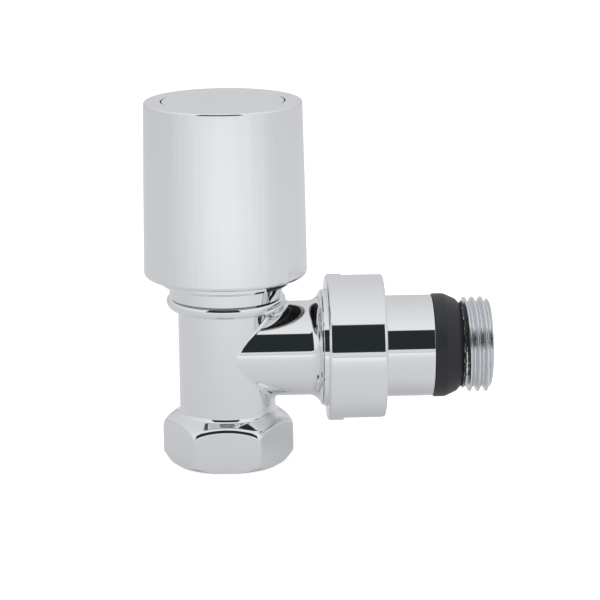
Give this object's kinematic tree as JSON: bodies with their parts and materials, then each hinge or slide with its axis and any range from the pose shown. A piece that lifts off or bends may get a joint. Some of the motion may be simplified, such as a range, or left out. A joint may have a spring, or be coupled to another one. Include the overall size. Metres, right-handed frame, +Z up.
{
  "type": "angled radiator valve",
  "caption": "Chrome angled radiator valve: hexagonal inlet below, tall turning cap above, side branch with union nut, threaded tail and black rubber seal.",
  "frame": {"origin": "centre of the inlet's bottom face", "axes": "+Z up along the spindle, +X along the side branch towards the radiator"},
  "size_m": [0.0756, 0.0356, 0.08],
  "materials": {
    "chrome_brass": "bright chrome plate on forged brass",
    "chrome_cap": "satin-bright chrome plate",
    "chrome_hub": "chrome plate",
    "chrome_nut": "bright chrome plate",
    "chrome_tail": "bright chrome plate",
    "bare_brass": "turned brass",
    "steel": "zinc plated steel",
    "white_plastic": "matte",
    "ring_rubber": "smooth black rubber",
    "seal_rubber": "matte black rubber"
  },
  "bodies": {
    "valve": {"valve_body": "chrome_brass", "bonnet": "bare_brass", "bonnet_o_ring": "ring_rubber", "gland_bush": "bare_brass"},
    "handwheel": {"handwheel_cap": "chrome_cap", "cap_disc": "chrome_cap", "handwheel_hub": "chrome_hub", "hub_washer": "steel", "hub_screw": "steel", "spindle": "bare_brass", "spindle_o_ring_lower": "ring_rubber", "spindle_o_ring_upper": "ring_rubber", "circlip": "steel", "thrust_washer": "white_plastic"},
    "lifted_disc": {"disc_carrier": "bare_brass", "disc_washer": "ring_rubber", "washer_screw": "steel"},
    "tail": {"tail_piece": "chrome_tail", "tail_seal": "seal_rubber", "union_o_ring": "ring_rubber"},
    "nut": {"union_nut": "chrome_nut"}
  },
  "joints": [
    {"name": "handwheel_turn", "type": "hinge", "parent": "valve", "child": "handwheel", "pos_m": [0, 0, 0.045], "axis": [0, 0, 1], "range_deg": [0, 1170]},
    {"name": "disc_lift", "type": "slide", "parent": "valve", "child": "lifted_disc", "axis": [0, 0, 1], "range_m": [0, 0.0049]},
    {"name": "tail_draw", "type": "slide", "parent": "valve", "child": "tail", "axis": [1, 0, 0], "range_m": [0, 0.0077]},
    {"name": "union_nut_turn", "type": "hinge", "parent": "tail", "child": "nut", "pos_m": [0.0284, 0, 0.0247], "axis": [1, 0, 0], "range_deg": [0, 1515]}
  ],
  "couplings": [
    {"joint": "disc_lift", "follows": "handwheel_turn", "m_per_rad": 0.00023873},
    {"joint": "tail_draw", "follows": "union_nut_turn", "m_per_rad": 0.00028871}
  ]
}
